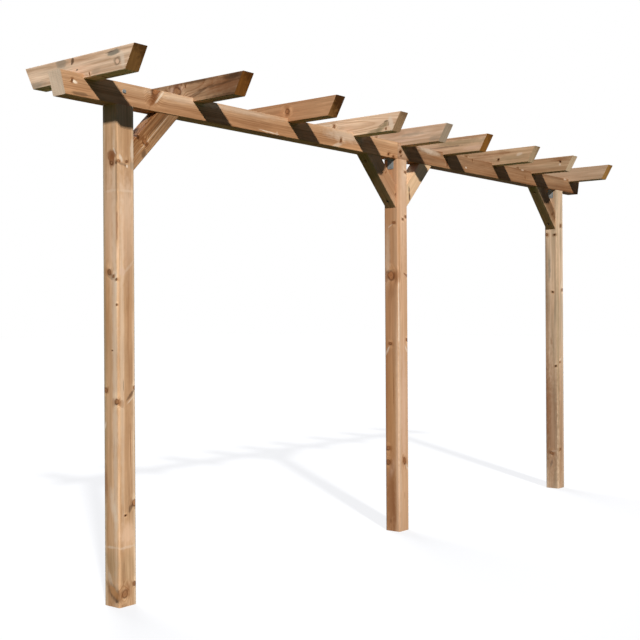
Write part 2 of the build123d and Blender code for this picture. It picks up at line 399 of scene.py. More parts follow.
class PergolaTimber(bpy.types.PropertyGroup):
    """What all the timbers share"""

    wander: bpy.props.FloatProperty(
        name="Pith wander", description="How far the log's heart strays along a timber",
        default=9 * MM, unit="LENGTH", precision=4)
    wave: bpy.props.FloatProperty(
        name="Grain wave", description="Depth of the small waves in the rings",
        default=1.8 * MM, unit="LENGTH", precision=4)
    band: bpy.props.FloatProperty(
        name="Band", description="Width of the broad pale and dark bands along the grain",
        default=26 * MM, unit="LENGTH", precision=4)
    streak: bpy.props.FloatProperty(
        name="Streak", description="Width of the narrow streaks along the grain",
        default=7 * MM, unit="LENGTH", precision=4)
    fibre: bpy.props.FloatProperty(
        name="Fibre", description="Width of the finest fibres that show",
        default=1.6 * MM, unit="LENGTH", precision=4)
    dead_knot_colour: bpy.props.FloatVectorProperty(
        name="Dead knot", description="A loose black knot", subtype="COLOR", size=4,
        default=linear("#40240F"))
    bark_colour: bpy.props.FloatVectorProperty(
        name="Bark ring", description="Thin ring of bark round a knot", subtype="COLOR", size=4,
        default=linear("#4B2E1A"))
    stain_colour: bpy.props.FloatVectorProperty(
        name="Weather stain", description="Grey bloom on timber left outdoors",
        subtype="COLOR", size=4, default=linear("#93876F"))


class PergolaFixings(bpy.types.PropertyGroup):
    """Screw heads in the frame"""

    coach_flats: bpy.props.FloatProperty(
        name="Coach screw", description="Width across the flats of the coach screws' heads",
        default=13 * MM, unit="LENGTH", precision=4)
    pan_diameter: bpy.props.FloatProperty(
        name="Pan head", description="Diameter of the bracket and rafter screws' heads",
        default=9 * MM, unit="LENGTH", precision=4)
    zinc_colour: bpy.props.FloatVectorProperty(
        name="Zinc", description="Dull galvanised zinc", subtype="COLOR", size=4, default=linear("#8E9290"))
    browned_colour: bpy.props.FloatVectorProperty(
        name="Browned steel", description="Dark screws in the rafters", subtype="COLOR", size=4,
        default=linear("#4A3A2E"))


class PergolaStage(bpy.types.PropertyGroup):
    """Floor, light and camera"""

    floor_colour: bpy.props.FloatVectorProperty(
        name="Floor", description="Pale floor as the camera sees it",
        subtype="COLOR", size=4, default=linear("#F4F4F3"))
    bounce_colour: bpy.props.FloatVectorProperty(
        name="Bounce", description="What the floor throws back up at the object",
        subtype="COLOR", size=4, default=linear("#3B4A26"))
    floor_glow: bpy.props.FloatProperty(
        name="Floor glow", description="How far the floor shines by itself, which keeps its shadows faint",
        subtype="FACTOR", default=0.76)
    floor_radius: bpy.props.FloatProperty(
        name="Floor radius", description="Half the width of the floor", default=60.0, unit="LENGTH")
    fill_colour: bpy.props.FloatVectorProperty(
        name="Fill colour", description="Cool light from all round",
        subtype="COLOR", size=4, default=linear("#A4BBFF"))
    fill: bpy.props.FloatProperty(
        name="Fill", description="Strength of the even light from all round", default=0.21)
    key: bpy.props.FloatProperty(
        name="Key", description="Strength of the main light", default=3.9)
    key_direction: bpy.props.FloatVectorProperty(
        name="Key direction", description="Which way the main light travels",
        subtype="DIRECTION", size=3, default=(0.77, 1.0, -0.711))
    rim: bpy.props.FloatProperty(
        name="Rim", description="Strength of the soft light on the back", default=2.9)
    rim_direction: bpy.props.FloatVectorProperty(
        name="Rim direction", description="Which way the light on the back travels",
        subtype="DIRECTION", size=3, default=(-0.55, -1.0, -0.7))
    lens: bpy.props.FloatProperty(
        name="Lens", description="Focal length for a 36 mm wide picture, in millimetres", default=61.15)
    camera_place: bpy.props.FloatVectorProperty(
        name="Camera place", description="Where the photographer stood",
        subtype="TRANSLATION", size=3, default=(-5.0892, -3.5327, 1.1936))
    camera_turn: bpy.props.FloatVectorProperty(
        name="Camera turn", description="Tilt, roll and heading", subtype="EULER", size=3,
        default=(math.radians(90.0108), math.radians(0.3266), math.radians(38.7822 - 90)))


def add(tree, kind, inputs=None, stops=(), **settings):
    """Adds one node with its settings, input values or links and ramp stops, and gives its outputs.

    kind is Blender's name for the node, without the ShaderNode that most of them start with.
    """
    node = tree.nodes.new(kind if kind.startswith("NodeGroup") else f"ShaderNode{kind}")
    for name, value in settings.items():
        setattr(node, name, value)
    for place, value in (inputs or {}).items():
        if isinstance(value, bpy.types.NodeSocket):
            tree.links.new(value, node.inputs[place])
        else:
            node.inputs[place].default_value = value
    if stops:
        elements = node.color_ramp.elements
        while len(elements) < len(stops):
            elements.new(0.5)
        for element, (position, colour) in zip(elements, stops):
            element.position = position
            element.color = colour
    return node.outputs


def new_material(name):
    """An empty node material and its tree."""
    material = bpy.data.materials.new(name)
    material.use_nodes = True
    material.node_tree.nodes.clear()
    return material, material.node_tree


def knot_group():
    """One branch, a tapered rod from the pith: it bends the grain and tells how near its edge is."""
    if "knot" in bpy.data.node_groups:
        return bpy.data.node_groups["knot"]
    tree = bpy.data.node_groups.new("knot", "ShaderNodeTree")
    for name, kind in (("Bent", "Vector"), ("Nearest", "Float"), ("Ahead", "Float"), ("Dead", "Float"),
                       ("Root", "Vector"), ("Branch", "Vector"), ("Length", "Float"), ("Radius", "Float"),
                       ("Own", "Float")):
        tree.interface.new_socket(name, in_out="INPUT", socket_type=f"NodeSocket{kind}")
    for name, kind in (("Bent", "Vector"), ("Nearest", "Float"), ("Ahead", "Float"), ("Dead", "Float")):
        tree.interface.new_socket(name, in_out="OUTPUT", socket_type=f"NodeSocket{kind}")
    given = add(tree, "NodeGroupInput")
    offset = add(tree, "VectorMath", {0: given["Bent"], 1: given["Root"]}, operation="SUBTRACT")[0]
    climb = add(tree, "VectorMath", {0: offset, 1: given["Branch"]}, operation="DOT_PRODUCT")["Value"]
    core = add(tree, "VectorMath", {0: given["Branch"], "Scale": climb}, operation="SCALE")[0]
    side = add(tree, "VectorMath", {0: offset, 1: core}, operation="SUBTRACT")[0]
    gap = add(tree, "VectorMath", {0: side}, operation="LENGTH")["Value"]
    share = add(tree, "Math", {0: climb, 1: given["Length"]}, operation="DIVIDE")[0]
    taper = add(tree, "MapRange", {
        "Value": share, "From Min": 0.0, "From Max": 1.1, "To Min": 0.4, "To Max": 1.04})["Result"]
    width = add(tree, "Math", {0: taper, 1: given["Radius"]}, operation="MULTIPLY")[0]
    reach = add(tree, "Math", {0: gap, 1: width}, operation="DIVIDE")[0]
    behind = add(tree, "MapRange", {
        "Value": share, "From Min": 0.05, "From Max": -0.15, "To Max": 9.0})["Result"]
    reach = add(tree, "Math", {0: reach, 1: behind}, operation="ADD")[0]
    push = add(tree, "MapRange", {
        "Value": reach, "From Min": 3.6, "From Max": 0.6, "To Max": 0.8}, **EASED)["Result"]
    aside = add(tree, "VectorMath", {0: side, "Scale": push}, operation="SCALE")[0]
    swell = add(tree, "Math", {0: width, 1: push}, operation="MULTIPLY")[0]
    lift = add(tree, "VectorMath", {0: given["Branch"], "Scale": swell}, operation="SCALE")[0]
    shift = add(tree, "VectorMath", {0: aside, 1: lift}, operation="ADD")[0]
    bent = add(tree, "VectorMath", {0: given["Bent"], 1: shift}, operation="SUBTRACT")[0]
    closer = add(tree, "Math", {0: reach, 1: given["Nearest"]}, operation="LESS_THAN")[0]
    dead = add(tree, "Mix", {0: closer, 2: given["Dead"], 3: given["Own"]})[0]
    ahead = add(tree, "VectorMath", {0: side, 1: (1, 0, 0)}, operation="DOT_PRODUCT")["Value"]
    ahead = add(tree, "Math", {0: ahead, 1: gap}, operation="DIVIDE")[0]
    ahead = add(tree, "Mix", {0: closer, 2: given["Ahead"], 3: ahead})[0]
    nearest = add(tree, "Math", {0: given["Nearest"], 1: reach}, operation="MINIMUM")[0]
    add(tree, "NodeGroupOutput", {"Bent": bent, "Nearest": nearest, "Ahead": ahead, "Dead": dead})
    return tree


def on_face(half, turn, spot):
    """Where a knot or mark lies, and its face's normal, in the timber's own axes and in metres."""
    inverse = turn.to_matrix().inverted()
    normal = FACES[spot.face]
    sideways = (turn.to_matrix() @ Vector((1, 0, 0))).cross(normal)
    leading = next(c for c in reversed(sideways) if abs(c) > 0.1)
    sideways = sideways * math.copysign(1, leading)
    depth = half.dot(Vector(abs(c) for c in normal))
    point = inverse @ (normal * depth + sideways * spot.across * MM)
    return point + Vector((spot.along * MM, 0, 0)), inverse @ normal


def branched(tree, place, half, turn, timber):
    """The grain bent round the knots, then of the nearest knot: how near, which way and how dead."""
    bent, nearest, ahead, dead = place, 9.0, 0.0, 0.0
    for knot in timber.knots:
        point, normal = on_face(half, turn, knot)
        spoke = Vector((0, point.y - timber.pith[0] * MM, point.z - timber.pith[1] * MM)).normalized()
        outwards = max(spoke.dot(normal), 0)
        spoke = normal.lerp(spoke, outwards ** 3).normalized()
        rise = timber.rise if knot.rise is None else knot.rise
        branch = (spoke + Vector((rise, 0, 0))) * BRANCH_REACH * knot.radius * MM
        shaped = add(tree, "Group", {
            "Bent": bent, "Nearest": nearest, "Ahead": ahead, "Dead": dead,
            "Root": point - branch, "Branch": branch.normalized(), "Length": branch.length,
            "Radius": knot.radius * MM, "Own": knot.dead,
        }, node_tree=knot_group())
        bent, nearest, ahead, dead = (shaped[name] for name in ("Bent", "Nearest", "Ahead", "Dead"))
    return bent, nearest, ahead, dead


def drifted(tree, place, seed, scale, depth):
    """A soft random drift across the grain, up to depth either way."""
    spread = add(tree, "Mapping", {"Vector": place, "Location": seed, "Scale": scale})[0]
    noise = add(tree, "TexNoise", {"Vector": spread, "Scale": 1.0, "Detail": 2.0})["Color"]
    level = add(tree, "VectorMath", {0: noise, 1: (0.5, 0.5, 0.5)}, operation="SUBTRACT")[0]
    return add(tree, "VectorMath", {0: level, 1: (0, 2 * depth, 2 * depth)}, operation="MULTIPLY")[0]


def mottle(tree, place, seed, length, width, detail=3.0):
    """Noise from 0 to 1 in patches of a length along the grain and a width across it."""
    scale = (0.5 / length, 0.5 / width, 0.5 / width)
    spread = add(tree, "Mapping", {"Vector": place, "Location": seed, "Scale": scale})[0]
    return add(tree, "TexNoise", {"Vector": spread, "Scale": 1.0, "Detail": detail})["Fac"]


def yearly(tree, bent, timber):
    """How late in its year the wood grew, 0 to 1, and how far it lies from the pith."""
    log = add(tree, "Mapping", {
        "Vector": bent, "Location": (0, -timber.pith[0] * MM, -timber.pith[1] * MM),
        "Rotation": (0, timber.tilt[1], -timber.tilt[0]),
    })[0]
    spoke = add(tree, "VectorMath", {0: log, 1: (0, 1, 1)}, operation="MULTIPLY")[0]
    radius = add(tree, "VectorMath", {0: spoke}, operation="LENGTH")["Value"]
    years = add(tree, "Math", {0: radius, 1: timber.ring * MM}, operation="DIVIDE")[0]
    uneven = add(tree, "TexNoise", {"W": years, "Scale": 0.45, "Detail": 1.0}, noise_dimensions="1D")
    years = add(tree, "Math", {0: uneven["Fac"], 1: 2.6, 2: years}, operation="MULTIPLY_ADD")[0]
    season = add(tree, "Math", {0: years}, operation="FRACT")[0]
    late = add(tree, "ValToRGB", {"Fac": season}, (
        (0.0, grey(0.30)), (0.14, grey(0.0)), (0.5, grey(0.12)),
        (0.8, grey(0.70)), (0.92, grey(1.0)), (1.0, grey(0.30)),
    ))["Color"]
    year = add(tree, "Math", {0: years}, operation="FLOOR")[0]
    vigour = add(tree, "TexWhiteNoise", {"W": year}, noise_dimensions="1D")["Value"]
    vigour = add(tree, "MapRange", {
        "Value": vigour, "To Min": 0.3 * timber.bite, "To Max": timber.bite})["Result"]
    return add(tree, "Math", {0: late, 1: vigour}, operation="MULTIPLY")[0], radius


def marked(tree, place, colour, fray, half, turn, timber):
    """The timber's bruises, smears and stains laid over a colour, with frayed edges."""
    for mark in timber.marks:
        centre, normal = on_face(half, turn, mark)
        size = [mark.length / 2 * MM, mark.width / 2 * MM, mark.width / 2 * MM]
        deepest = max((1, 2), key=lambda axis: abs(normal[axis]))
        size[deepest] = MARK_DEPTH * MM
        edge = SOFT_EDGE if mark.length * mark.width > BROAD_MARK else FIRM_EDGE
        patch = add(tree, "Mapping", {
            "Vector": place, "Location": centre, "Scale": size,
            "Rotation": normal * math.radians(mark.lean),
        }, vector_type="TEXTURE")[0]
        reach = add(tree, "VectorMath", {0: patch}, operation="LENGTH")["Value"]
        reach = add(tree, "Math", {0: fray, 1: 1.2, 2: reach}, operation="MULTIPLY_ADD")[0]
        cover = add(tree, "MapRange", {
            "Value": reach, "From Min": 0.9 + edge, "From Max": 0.9 - edge, "To Max": mark.share,
        }, **EASED)["Result"]
        colour = add(tree, "Mix", {0: cover, MIX_A: colour, MIX_B: linear(mark.paint)}, **PAINT)[MIX_OUT]
    return colour


def knotted(tree, colour, nearest, ahead, dead, fray, timber):
    """Knots over a colour: dark grain beside, pale wood and painted sheen above and below, a bark ring,
    brown wood.
    """
    shared = bpy.context.scene.pergola_timber
    near = add(tree, "Math", {0: nearest, 1: 0.25}, operation="MULTIPLY")[0]
    lengthways = add(tree, "Math", {0: ahead}, operation="ABSOLUTE")[0]
    beside = add(tree, "MapRange", {
        "Value": lengthways, "From Min": 0.9, "From Max": 0.3}, **EASED)["Result"]
    above = add(tree, "MapRange", {
        "Value": lengthways, "From Min": 0.35, "From Max": 0.9}, **EASED)["Result"]
    # Beside a knot the grain is darker; above and below it the wood is paler, a glaze that is also a
    # painted sheen of the fibres curving round the knot
    for turned, glaze, stops in (
        (beside, (0.62, 0.48, 0.36, 1), ((0.22, 1.0), (0.36, 0.75), (0.72, 0.0))),
        (above, (1.24, 1.28, 1.28, 1), ((0.25, 0.0), (0.36, 1.0), (0.55, 0.7), (0.92, 0.0))),
    ):
        zone = add(tree, "ValToRGB", {"Fac": near}, [(at, grey(level)) for at, level in stops])
        zone = add(tree, "Math", {0: zone["Color"], 1: turned}, operation="MULTIPLY")[0]
        colour = add(tree, "Mix", {0: zone, MIX_A: colour, MIX_B: glaze}, **GLAZE)[MIX_OUT]
    swirl = add(tree, "Math", {0: nearest, 1: 21.0}, operation="MULTIPLY")[0]
    swirl = add(tree, "Math", {0: swirl}, operation="SINE")[0]
    swirl = add(tree, "MapRange", {
        "Value": swirl, "From Min": -1.0, "To Min": 0.78, "To Max": 1.15})["Result"]
    live = add(tree, "ValToRGB", {"Fac": near}, (
        (0.0, tinted(timber.tone, (0.64, 0.40, 0.26))), (0.12, tinted(timber.tone, (0.74, 0.51, 0.35))),
        (0.25, tinted(timber.tone, (0.46, 0.28, 0.18))),
    ))["Color"]
    live = add(tree, "VectorMath", {0: live, "Scale": swirl}, operation="SCALE")[0]
    wood = add(tree, "Mix", {0: dead, MIX_A: live, MIX_B: shared.dead_knot_colour}, **PAINT)[MIX_OUT]
    inside = add(tree, "MapRange", {
        "Value": nearest, "From Min": 1.1, "From Max": 0.86, "To Max": 0.94}, **EASED)["Result"]
    colour = add(tree, "Mix", {0: inside, MIX_A: colour, MIX_B: wood}, **PAINT)[MIX_OUT]
    ring = add(tree, "ValToRGB", {"Fac": near}, (
        (0.16, grey(0.0)), (0.235, grey(1.0)), (0.26, grey(1.0)), (0.34, grey(0.0)),
    ))["Color"]
    crescent = add(tree, "MapRange", {
        "Value": ahead, "From Min": 0.8, "From Max": -0.8, "To Min": 0.15, "To Max": 0.75})["Result"]
    strength = add(tree, "Math", {0: crescent, 1: dead}, operation="MAXIMUM")[0]
    broken = add(tree, "MapRange", {
        "Value": fray, "From Min": -0.14, "From Max": 0.1, "To Min": 0.25})["Result"]
    strength = add(tree, "Math", {0: strength, 1: broken}, operation="MULTIPLY")[0]
    ring = add(tree, "Math", {0: ring, 1: strength}, operation="MULTIPLY")[0]
    return add(tree, "Mix", {0: ring, MIX_A: colour, MIX_B: shared.bark_colour}, **PAINT)[MIX_OUT]


def planed_face(tree, place, bent, late, radius, fibre, seed, timber):
    """A planed face's colour: redder in late wood and in the heart, then banded, streaked and weathered."""
    shared = bpy.context.scene.pergola_timber
    late_tone = tinted(timber.tone, (0.60, 0.45, 0.33))
    colour = add(tree, "Mix", {0: late, MIX_A: linear(timber.tone), MIX_B: late_tone}, **PAINT)[MIX_OUT]
    blur = 8
    heart = add(tree, "MapRange", {
        "Value": radius, "From Min": abs(1.25 * timber.heart + blur) * MM,
        "From Max": abs(0.75 * timber.heart - blur) * MM,
    }, **EASED)["Result"]
    colour = add(tree, "Mix", {0: heart, MIX_A: colour, MIX_B: (0.84, 0.72, 0.61, 1)}, **GLAZE)[MIX_OUT]
    band = mottle(tree, bent, seed * 0.4, 900 * MM, shared.band, 1.5)
    streak = mottle(tree, bent, seed * 0.9, 280 * MM, shared.streak, 2.0)
    blotch = mottle(tree, place, seed * 1.3, 160 * MM, 45 * MM)
    for pattern, dark, light in (
        (band, (0.74, 0.66, 0.58, 1), (1.24, 1.30, 1.36, 1)),
        (streak, (0.72, 0.64, 0.56, 1), (1.24, 1.30, 1.35, 1)),
        (fibre, (0.78, 0.74, 0.69, 1), (1.18, 1.20, 1.22, 1)),
        (blotch, (0.80, 0.76, 0.72, 1), (1.18, 1.19, 1.20, 1)),
    ):
        spread = add(tree, "MapRange", {"Value": pattern, "From Min": 0.3, "From Max": 0.7})["Result"]
        shade = add(tree, "Mix", {0: spread, MIX_A: dark, MIX_B: light}, **PAINT)[MIX_OUT]
        colour = add(tree, "Mix", {0: timber.figure, MIX_A: colour, MIX_B: shade}, **GLAZE)[MIX_OUT]

    # Grey bloom of the weather, in streaks
    bloom = mottle(tree, bent, seed * 2.1, 220 * MM, 18 * MM, 4.0)
    greyest = min(2.2 * timber.stain, 0.9)
    weathered = add(tree, "MapRange", {
        "Value": bloom, "From Min": 0.46, "From Max": 0.68, "To Max": greyest})["Result"]
    return add(tree, "Mix", {0: weathered, MIX_A: colour, MIX_B: shared.stain_colour}, **PAINT)[MIX_OUT]


def sawn_end(tree, place, late, fray, seed, timber):
    """A sawn end's colour: strong rings, fine saw marks and a corner that rain has darkened."""
    late_end = tinted(timber.end, (0.76, 0.66, 0.55))
    colour = add(tree, "Mix", {0: late, MIX_A: linear(timber.end), MIX_B: late_end}, **PAINT)[MIX_OUT]
    kerf_width, kerf_length = 5 * MM, 45 * MM
    spread = add(tree, "Mapping", {
        "Vector": place, "Location": seed, "Scale": (0, 0.5 / kerf_width, 0.5 / kerf_length)})[0]
    kerf = add(tree, "TexNoise", {"Vector": spread, "Scale": 1.0, "Detail": 4.0})["Fac"]
    kerf = add(tree, "MapRange", {
        "Value": kerf, "From Min": 0.3, "From Max": 0.7, "To Min": 0.86, "To Max": 1.13})["Result"]
    colour = add(tree, "VectorMath", {0: colour, "Scale": kerf}, operation="SCALE")[0]
    level = add(tree, "VectorMath", {0: place, 1: (0, -0.8, 1)}, operation="DOT_PRODUCT")["Value"]
    soaked = add(tree, "Math", {0: fray, 1: 0.12, 2: level}, operation="MULTIPLY_ADD")[0]
    wet = (30 - 60 * timber.soak) * MM
    soaked = add(tree, "MapRange", {
        "Value": soaked, "From Min": wet, "From Max": wet + 60 * MM, "To Max": min(timber.soak, 1.0),
    }, **EASED)["Result"]
    return add(tree, "Mix", {0: soaked, MIX_A: colour, MIX_B: (0.30, 0.25, 0.21, 1)}, **GLAZE)[MIX_OUT]


def treated_softwood(node, timber, turn):
    """Planed, pressure treated softwood: tan early wood with thin redder late wood in every ring.

    The rings are shells about the log's pith, so faces show arches and stripes, sawn ends show
    arcs, and knots push the grain aside. The real rings, some 4 mm, would blend into soft bands from a
    distance, so they are drawn at twice the size.
    """
    shared = bpy.context.scene.pergola_timber
    draw = random.Random(node)
    seed = Vector((draw.uniform(-40, 40), draw.uniform(-40, 40), draw.uniform(-40, 40)))
    low, high = (Vector(corner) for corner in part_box(node))
    half = (high - low) / 2
    material, tree = new_material(f"treated_softwood_{node}")
    texture = add(tree, "TexCoord")
    place = add(tree, "Mapping", {
        "Vector": texture["Object"], "Location": (low + high) / 2, "Rotation": turn,
    }, vector_type="TEXTURE")[0]

    # Knots bend the grain, the pith strays along the timber and the rings ripple
    bent, nearest, ahead, dead = branched(tree, place, half, turn, timber)
    for seeded, scale, depth in (
        (seed, (1.6, 0.5, 0.5), shared.wander),
        (seed * 0.7, (7, 26, 26), shared.wave),
    ):
        stray = drifted(tree, place, seeded, scale, depth)
        bent = add(tree, "VectorMath", {0: bent, 1: stray}, operation="ADD")[0]
    late, radius = yearly(tree, bent, timber)
    crowded = add(tree, "MapRange", {
        "Value": nearest, "From Min": 4.5, "From Max": 1.5, "To Min": 1.0, "To Max": 2.2})["Result"]
    late = add(tree, "Math", {0: late, 1: crowded}, operation="MULTIPLY", use_clamp=True)[0]

    # Planed faces with their marks and knots
    fibre = mottle(tree, bent, seed, 60 * MM, shared.fibre)
    fray = mottle(tree, place, seed * 1.7, 14 * MM, 8 * MM)
    fray = add(tree, "Math", {0: fray, 1: 0.5}, operation="SUBTRACT")[0]
    colour = planed_face(tree, place, bent, late, radius, fibre, seed, timber)
    colour = marked(tree, place, colour, fray, half, turn, timber)
    rough_edge = add(tree, "Math", {0: fray, 1: 0.9, 2: nearest}, operation="MULTIPLY_ADD")[0]
    colour = knotted(tree, colour, rough_edge, ahead, dead, fray, timber)

    # Sawn ends where the surface lies across the grain
    grain = turn.to_matrix() @ Vector((1, 0, 0))
    square = add(tree, "VectorMath", {0: texture["Normal"], 1: grain}, operation="DOT_PRODUCT")["Value"]
    square = add(tree, "Math", {0: square}, operation="ABSOLUTE")[0]
    sawn = add(tree, "MapRange", {"Value": square, "From Min": 0.62, "From Max": 0.72})["Result"]
    end = sawn_end(tree, place, late, fray, seed, timber)
    colour = add(tree, "Mix", {0: sawn, MIX_A: colour, MIX_B: end}, **PAINT)[MIX_OUT]

    # Relief: planed fibres stand up a little
    fibre_height = 0.5 * MM
    relief = mottle(tree, place, seed * 0.6, 60 * MM, shared.fibre)
    bump = add(tree, "Bump", {"Strength": 0.25, "Distance": fibre_height, "Height": relief})["Normal"]
    roughness = add(tree, "MapRange", {"Value": fibre, "To Min": 0.68, "To Max": 0.88})["Result"]
    surface = add(tree, "BsdfPrincipled", {
        "Base Color": colour, "Roughness": roughness, "Normal": bump, "Specular IOR Level": 0.06})
    add(tree, "OutputMaterial", {"Surface": surface[0]})
    return material


def galvanised_zinc():
    """Hot dipped zinc on steel: dull silver with a faint spangle of crystals."""
    if "galvanised_zinc" in bpy.data.materials:
        return bpy.data.materials["galvanised_zinc"]
    material, tree = new_material("galvanised_zinc")
    texture = add(tree, "TexCoord")["Object"]
    crystal, cloud = 5 * MM, 14 * MM
    spangle = add(tree, "TexVoronoi", {"Vector": texture, "Scale": 1 / crystal})["Color"]
    tarnish = add(tree, "TexNoise", {"Vector": texture, "Scale": 1 / cloud, "Detail": 4.0})["Fac"]
    shade = add(tree, "Math", {0: spangle, 1: 0.22, 2: tarnish}, operation="MULTIPLY_ADD")[0]
    shade = add(tree, "MapRange", {
        "Value": shade, "From Min": 0.3, "From Max": 0.9, "To Min": 0.62, "To Max": 1.1})["Result"]
    zinc = bpy.context.scene.pergola_fixings.zinc_colour
    colour = add(tree, "VectorMath", {0: zinc[:3], "Scale": shade}, operation="SCALE")[0]
    roughness = add(tree, "MapRange", {"Value": spangle, "To Min": 0.28, "To Max": 0.5})["Result"]
    surface = add(tree, "BsdfPrincipled", {
        "Base Color": colour, "Roughness": roughness, "Metallic": 0.08, "Specular IOR Level": 0.1})
    add(tree, "OutputMaterial", {"Surface": surface[0]})
    return material


def browned_steel():
    """Steel screws with a dark brown coating, dull and a little patchy."""
    if "browned_steel" in bpy.data.materials:
        return bpy.data.materials["browned_steel"]
    material, tree = new_material("browned_steel")
    texture = add(tree, "TexCoord")["Object"]
    worn = 3 * MM
    patch = add(tree, "TexNoise", {"Vector": texture, "Scale": 1 / worn, "Detail": 3.0})["Fac"]
    roughness = add(tree, "MapRange", {"Value": patch, "To Min": 0.45, "To Max": 0.7})["Result"]
    browned = bpy.context.scene.pergola_fixings.browned_colour
    surface = add(tree, "BsdfPrincipled", {"Base Color": browned, "Roughness": roughness, "Metallic": 1.0})
    add(tree, "OutputMaterial", {"Surface": surface[0]})
    return material


def dress(node, material):
    """Gives a CAD node its finish."""
    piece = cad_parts[node]
    if not piece.material_slots:
        piece.data.materials.append(material)
    for slot in piece.material_slots:
        slot.material = material


def facing(point, direction):
    """Turns +Z to a direction and moves the origin to a point."""
    turn = Vector(direction).to_track_quat("Z", "Y").to_matrix().to_4x4()
    return Matrix.Translation(point) @ turn


def edges_at(verts):
    """The edges at some vertices, once each and in the same order on every run."""
    return list(dict.fromkeys(edge for vert in verts for edge in vert.link_edges))


def hex_head(shape, flats, matrix):
    """A hexagon screw head on a round flange, standing on its own XY plane."""
    height = 0.42 * flats
    flange = bmesh.ops.create_cone(
        shape, cap_ends=True, segments=28, radius1=0.72 * flats, radius2=0.62 * flats, depth=0.2 * height,
        matrix=matrix @ Matrix.Translation((0, 0, 0.1 * height)))
    head = bmesh.ops.create_cone(
        shape, cap_ends=True, segments=6, radius1=flats / math.sqrt(3), radius2=flats / math.sqrt(3),
        depth=height, matrix=matrix @ Matrix.Translation((0, 0, 0.6 * height)))
    sharp = [edge for edge in edges_at(head["verts"] + flange["verts"]) if edge.calc_face_angle(0) > 0.6]
    bmesh.ops.bevel(
        shape, geom=sharp, offset=0.035 * flats, segments=2, profile=0.5, affect="EDGES", material=-1)


def cross_head(shape, diameter, matrix):
    """A low domed screw head with a cross recess, standing on its own XY plane."""
    radius = diameter / 2
    rings = []
    for share, rise in ((1.0, 0.0), (0.97, 0.10), (0.80, 0.20)):
        ring = bmesh.ops.create_circle(
            shape, cap_ends=False, segments=24, radius=share * radius,
            matrix=matrix @ Matrix.Translation((0, 0, rise * diameter)))
        rings.append(edges_at(ring["verts"]))
    for lower, upper in zip(rings, rings[1:]):
        bmesh.ops.bridge_loops(shape, edges=lower + upper)
    arm, waist = 0.5 * radius, 0.13 * radius
    quarter = ((arm, -waist), (arm, waist), (waist, waist))
    outline = []
    for turn in range(4):
        spin = Matrix.Rotation(turn * math.pi / 2, 4, "Z")
        outline += [shape.verts.new(matrix @ spin @ Vector((x, y, 0.24 * diameter))) for x, y in quarter]
    recess = shape.faces.new(outline)
    bmesh.ops.bridge_loops(shape, edges=rings[-1] + list(recess.edges))
    bmesh.ops.inset_region(shape, faces=[recess], thickness=0.05 * radius, depth=0)
    sink = matrix.to_3x3() @ Vector((0, 0, -0.14 * diameter))
    bmesh.ops.translate(shape, verts=list(recess.verts), vec=sink)


def fixing(name, heads, places, size, material):
    """One piece of several screw heads, held by the frame."""
    shape = bmesh.new()
    for point, direction in places:
        heads(shape, size, facing(point, direction))
    bmesh.ops.recalc_face_normals(shape, faces=shape.faces)
    mesh = bpy.data.meshes.new(name)
    shape.to_mesh(mesh)
    shape.free()
    piece = bpy.data.objects.new(name, mesh)
    bpy.context.scene.collection.objects.link(piece)
    mesh.materials.append(material)
    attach(piece, "root")
    return piece


def seen_directly(tree):
    """1 where a camera, mirror or glass ray arrives, 0 where light only bounces."""
    path = add(tree, "LightPath")
    seen = add(tree, "Math", {0: path["Is Camera Ray"], 1: path["Is Glossy Ray"]}, operation="MAXIMUM")
    return add(tree, "Math", {0: seen[0], 1: path["Is Transmission Ray"]}, operation="MAXIMUM")[0]


def lay_floor(settings):
    """A wide pale floor that keeps a faint shadow."""
    shape = bmesh.new()
    bmesh.ops.create_grid(shape, x_segments=1, y_segments=1, size=settings.floor_radius)
    mesh = bpy.data.meshes.new("floor")
    shape.to_mesh(mesh)
    shape.free()
    floor = bpy.data.objects.new("floor", mesh)
    bpy.context.scene.collection.objects.link(floor)
    material, tree = new_material("painted_floor")
    pale = add(tree, "BsdfDiffuse", {"Color": settings.floor_colour})
    glow = add(tree, "Emission", {"Color": grey(1.0)})
    bright = add(tree, "MixShader", {0: settings.floor_glow, 1: pale[0], 2: glow[0]})
    dim = add(tree, "BsdfDiffuse", {"Color": settings.bounce_colour})
    surface = add(tree, "MixShader", {0: seen_directly(tree), 1: dim[0], 2: bright[0]})
    add(tree, "OutputMaterial", {"Surface": surface[0]})
    mesh.materials.append(material)


def light_room(scene, settings):
    """Even cool fill from all round, a key from the front left and a soft rim from behind."""
    world = bpy.data.worlds.new("studio")
    scene.world = world
    world.use_nodes = True
    tree = world.node_tree
    tree.nodes.clear()
    fill = add(tree, "Background", {"Color": settings.fill_colour, "Strength": settings.fill})
    white = add(tree, "Background", {"Color": grey(1.0), "Strength": 1.0})
    sky = add(tree, "MixShader", {0: seen_directly(tree), 1: fill[0], 2: white[0]})
    add(tree, "OutputWorld", {"Surface": sky[0]})
    for name, strength, spread, direction in (
        ("key", settings.key, math.radians(2.2), settings.key_direction),
        ("rim", settings.rim, math.radians(30.0), settings.rim_direction),
    ):
        lamp = bpy.data.lights.new(name, "SUN")
        lamp.energy = strength
        lamp.angle = spread
        holder = bpy.data.objects.new(name, lamp)
        holder.rotation_euler = Vector(direction).to_track_quat("-Z", "Y").to_euler()
        scene.collection.objects.link(holder)


def place_camera(scene, settings):
    """The photograph's own viewpoint."""
    camera = bpy.data.cameras.new("camera")
    camera.lens = settings.lens
    camera.sensor_width = 36.0
    holder = bpy.data.objects.new("camera", camera)
    holder.location = settings.camera_place
    holder.rotation_euler = settings.camera_turn
    scene.collection.objects.link(holder)
    scene.camera = holder


class PERGOLA_OT_dress_posts(bpy.types.Operator):
    """Finish the posts in upright softwood"""

    bl_idname = "pergola.dress_posts"
    bl_label = "Dress Posts"

    def execute(self, context):
        for node, timber in POSTS.items():
            dress(node, treated_softwood(node, timber, UPRIGHT))
        return {"FINISHED"}


